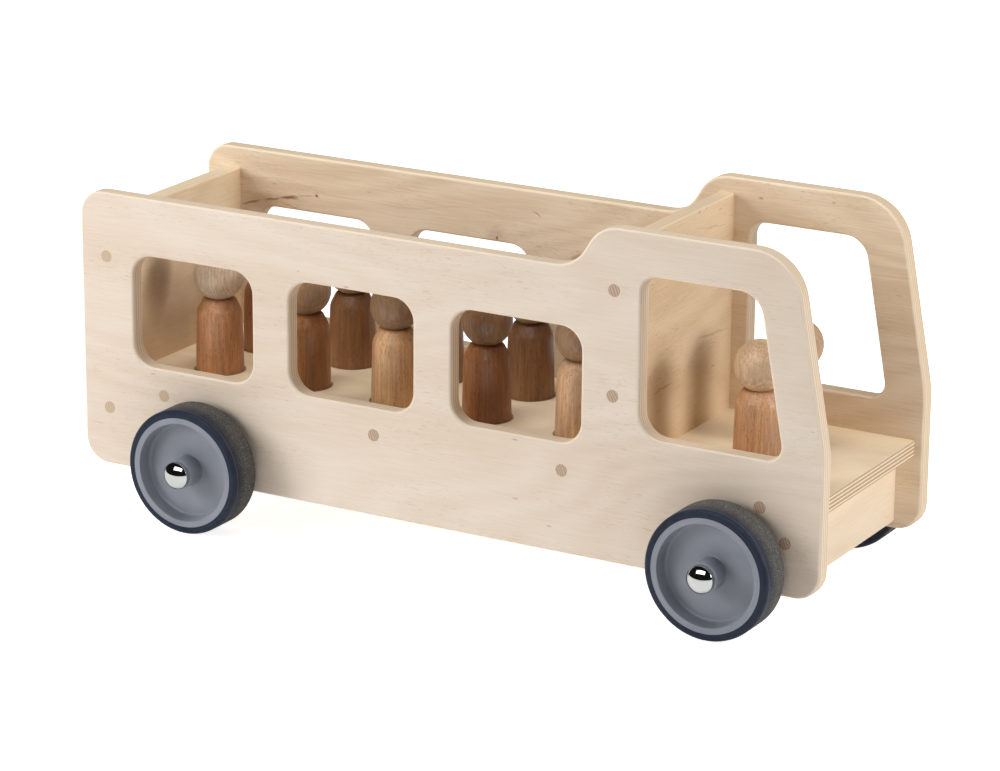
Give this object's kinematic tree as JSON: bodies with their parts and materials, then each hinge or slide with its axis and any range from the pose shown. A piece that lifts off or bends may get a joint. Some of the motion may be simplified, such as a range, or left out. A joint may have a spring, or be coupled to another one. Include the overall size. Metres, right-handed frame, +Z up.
{
  "type": "toy bus",
  "caption": "Wooden toy bus with sawn plywood sides, open roof and windscreen, turned peg people standing in round floor recesses, and free-running wheels on steel axles.",
  "frame": {"origin": "on the ground under the middle of the bus, halfway along the sides and between them", "axes": "+X towards the cab, +Y to the bus's left, +Z up"},
  "size_m": [0.571, 0.259, 0.2553],
  "materials": {
    "ply_side": "clear matt lacquer on birch ply",
    "ply_inner": "clear matt lacquer on birch ply",
    "dowel": "sanded end grain",
    "figure_body": "oiled beech",
    "figure_head": "oiled beech",
    "rim": "satin moulded grey",
    "tyre": "smooth dark rubber",
    "steel": "drawn bar",
    "chrome": "bright plated"
  },
  "bodies": {
    "bus": {"near_side": "ply_side", "far_side": "ply_side", "rear_wall": "ply_inner", "bulkhead": "ply_inner", "front_crossboard": "ply_inner", "floor": "ply_inner", "floor_dowels": "dowel", "rear_wall_dowels": "dowel", "bulkhead_dowels": "dowel", "crossboard_dowels": "dowel"},
    "front_axle_set": {"front_axle": "steel", "front_axle_washers": "steel", "front_axle_caps": "chrome"},
    "front_near_wheel": {"front_near_rim": "rim", "front_near_tyre": "tyre"},
    "front_far_wheel": {"front_far_rim": "rim", "front_far_tyre": "tyre"},
    "rear_axle_set": {"rear_axle": "steel", "rear_axle_washers": "steel", "rear_axle_caps": "chrome"},
    "rear_near_wheel": {"rear_near_rim": "rim", "rear_near_tyre": "tyre"},
    "rear_far_wheel": {"rear_far_rim": "rim", "rear_far_tyre": "tyre"},
    "near_passenger_1": {"near_passenger_1_body": "figure_body", "near_passenger_1_head": "figure_head"},
    "far_passenger_1": {"far_passenger_1_body": "figure_body", "far_passenger_1_head": "figure_head"},
    "near_passenger_2": {"near_passenger_2_body": "figure_body", "near_passenger_2_head": "figure_head"},
    "far_passenger_2": {"far_passenger_2_body": "figure_body", "far_passenger_2_head": "figure_head"},
    "near_passenger_3": {"near_passenger_3_body": "figure_body", "near_passenger_3_head": "figure_head"},
    "far_passenger_3": {"far_passenger_3_body": "figure_body", "far_passenger_3_head": "figure_head"},
    "near_passenger_4": {"near_passenger_4_body": "figure_body", "near_passenger_4_head": "figure_head"},
    "far_passenger_4": {"far_passenger_4_body": "figure_body", "far_passenger_4_head": "figure_head"},
    "near_passenger_5": {"near_passenger_5_body": "figure_body", "near_passenger_5_head": "figure_head"},
    "far_passenger_5": {"far_passenger_5_body": "figure_body", "far_passenger_5_head": "figure_head"},
    "near_driver": {"near_driver_body": "figure_body", "near_driver_head": "figure_head"},
    "far_driver": {"far_driver_body": "figure_body", "far_driver_head": "figure_head"}
  },
  "joints": [
    {"name": "front_axle_turn", "type": "hinge", "parent": "bus", "child": "front_axle_set", "pos_m": [0.2194, 0, 0.0443], "axis": [0, 1, 0], "continuous": true},
    {"name": "front_near_wheel_turn", "type": "hinge", "parent": "front_axle_set", "child": "front_near_wheel", "pos_m": [0.2194, -0.1032, 0.0443], "axis": [0, 1, 0], "continuous": true},
    {"name": "front_far_wheel_turn", "type": "hinge", "parent": "front_axle_set", "child": "front_far_wheel", "pos_m": [0.2194, 0.1032, 0.0443], "axis": [0, 1, 0], "continuous": true},
    {"name": "rear_axle_turn", "type": "hinge", "parent": "bus", "child": "rear_axle_set", "pos_m": [-0.1827, 0, 0.0443], "axis": [0, 1, 0], "continuous": true},
    {"name": "rear_near_wheel_turn", "type": "hinge", "parent": "rear_axle_set", "child": "rear_near_wheel", "pos_m": [-0.1827, -0.1032, 0.0443], "axis": [0, 1, 0], "continuous": true},
    {"name": "rear_far_wheel_turn", "type": "hinge", "parent": "rear_axle_set", "child": "rear_far_wheel", "pos_m": [-0.1827, 0.1032, 0.0443], "axis": [0, 1, 0], "continuous": true},
    {"name": "near_passenger_1_lift", "type": "slide", "parent": "bus", "child": "near_passenger_1", "axis": [0, 0, 1], "range_m": [0, 0.145]},
    {"name": "far_passenger_1_lift", "type": "slide", "parent": "bus", "child": "far_passenger_1", "axis": [0, 0, 1], "range_m": [0, 0.145]},
    {"name": "near_passenger_2_lift", "type": "slide", "parent": "bus", "child": "near_passenger_2", "axis": [0, 0, 1], "range_m": [0, 0.145]},
    {"name": "far_passenger_2_lift", "type": "slide", "parent": "bus", "child": "far_passenger_2", "axis": [0, 0, 1], "range_m": [0, 0.145]},
    {"name": "near_passenger_3_lift", "type": "slide", "parent": "bus", "child": "near_passenger_3", "axis": [0, 0, 1], "range_m": [0, 0.145]},
    {"name": "far_passenger_3_lift", "type": "slide", "parent": "bus", "child": "far_passenger_3", "axis": [0, 0, 1], "range_m": [0, 0.145]},
    {"name": "near_passenger_4_lift", "type": "slide", "parent": "bus", "child": "near_passenger_4", "axis": [0, 0, 1], "range_m": [0, 0.145]},
    {"name": "far_passenger_4_lift", "type": "slide", "parent": "bus", "child": "far_passenger_4", "axis": [0, 0, 1], "range_m": [0, 0.145]},
    {"name": "near_passenger_5_lift", "type": "slide", "parent": "bus", "child": "near_passenger_5", "axis": [0, 0, 1], "range_m": [0, 0.145]},
    {"name": "far_passenger_5_lift", "type": "slide", "parent": "bus", "child": "far_passenger_5", "axis": [0, 0, 1], "range_m": [0, 0.145]},
    {"name": "near_driver_lift", "type": "slide", "parent": "bus", "child": "near_driver", "axis": [0, 0, 1], "range_m": [0, 0.175]},
    {"name": "far_driver_lift", "type": "slide", "parent": "bus", "child": "far_driver", "axis": [0, 0, 1], "range_m": [0, 0.175]}
  ]
}
